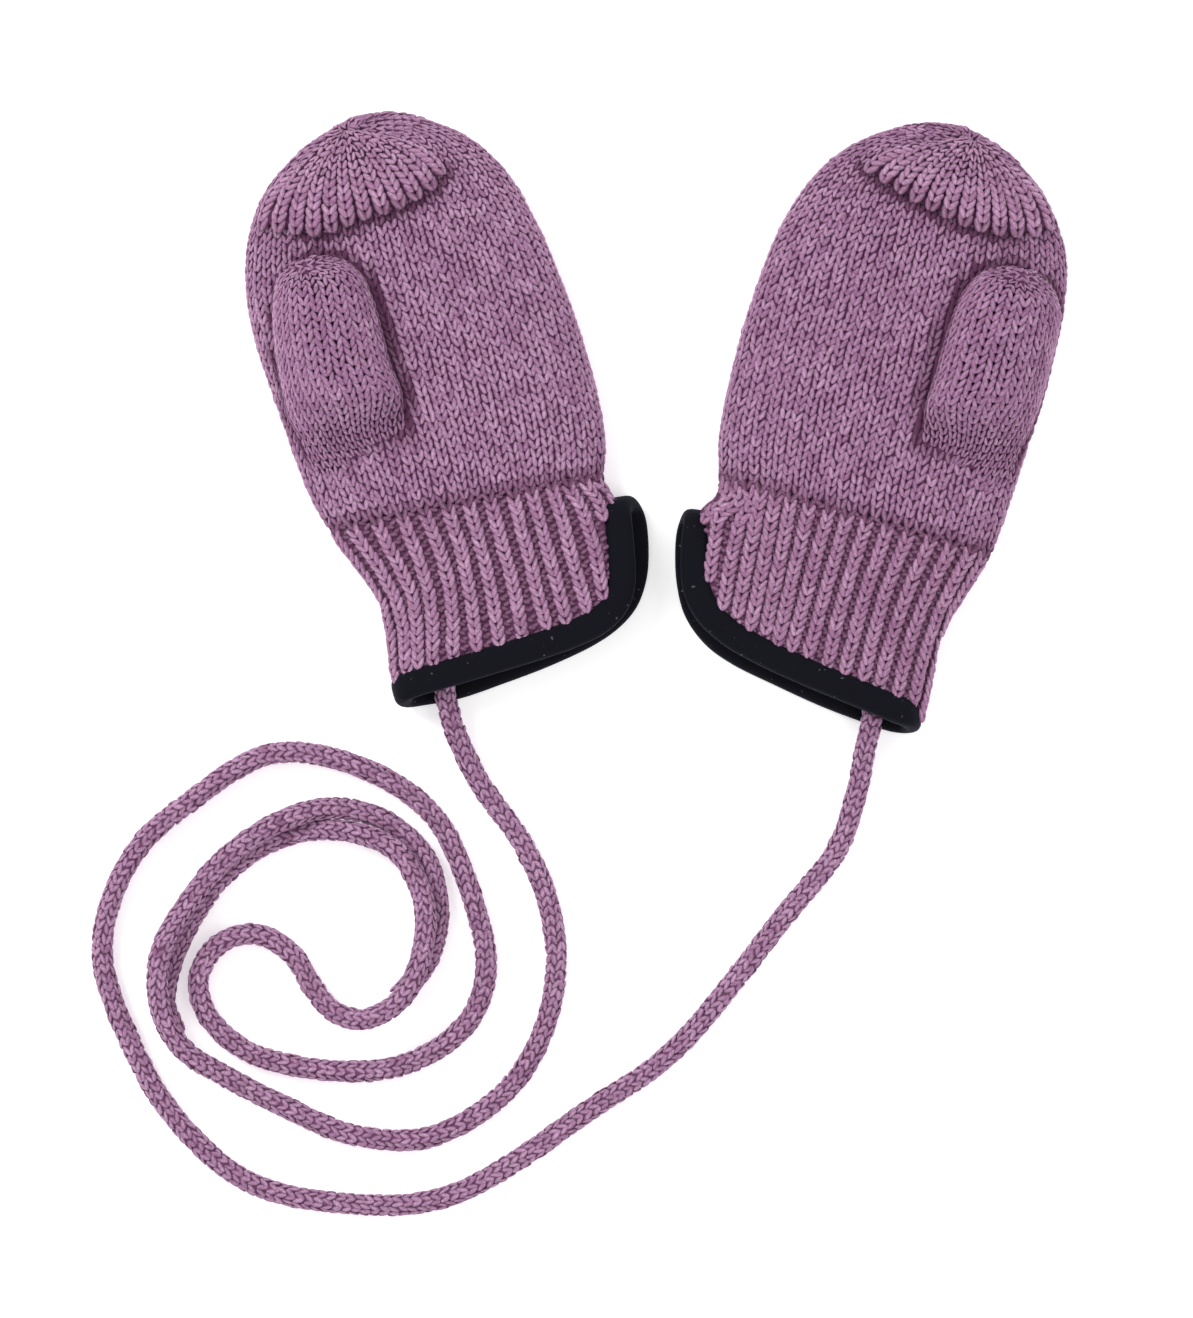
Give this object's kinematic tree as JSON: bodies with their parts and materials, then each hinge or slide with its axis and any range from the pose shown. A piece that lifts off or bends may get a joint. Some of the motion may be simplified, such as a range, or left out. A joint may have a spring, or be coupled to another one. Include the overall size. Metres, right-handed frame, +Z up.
{
  "type": "pair of baby mittens on a cord",
  "caption": "Knitted baby mittens with ribbed tips, tube thumbs, slit ribbed cuffs in a dark velour band, and a loose knitted cord out of each cuff, laid flat.",
  "frame": {"origin": "on the surface that the mittens lie on, under the centre of the box round the two mittens without their cords", "axes": "+Z up off the surface, +X from the left mitten to the right one as seen from above, +Y from the cuffs to the fingertips"},
  "size_m": [0.2333, 0.2657, 0.0276],
  "materials": {
    "plain_knit": "matt heather wool in plain knit",
    "rib_knit": "matt heather wool in rib knit",
    "velour_band": "short-pile velour",
    "knitted_cord": "matt heather wool in a tubular knit"
  },
  "bodies": {
    "root": {"hand_left": "plain_knit", "thumb_left": "plain_knit", "tip_fan_left": "rib_knit", "cuff_left": "rib_knit", "binding_left": "velour_band", "hand_right": "plain_knit", "thumb_right": "plain_knit", "tip_fan_right": "rib_knit", "cuff_right": "rib_knit", "binding_right": "velour_band", "cord_left": "knitted_cord", "cord_right": "knitted_cord"}
  },
  "joints": []
}
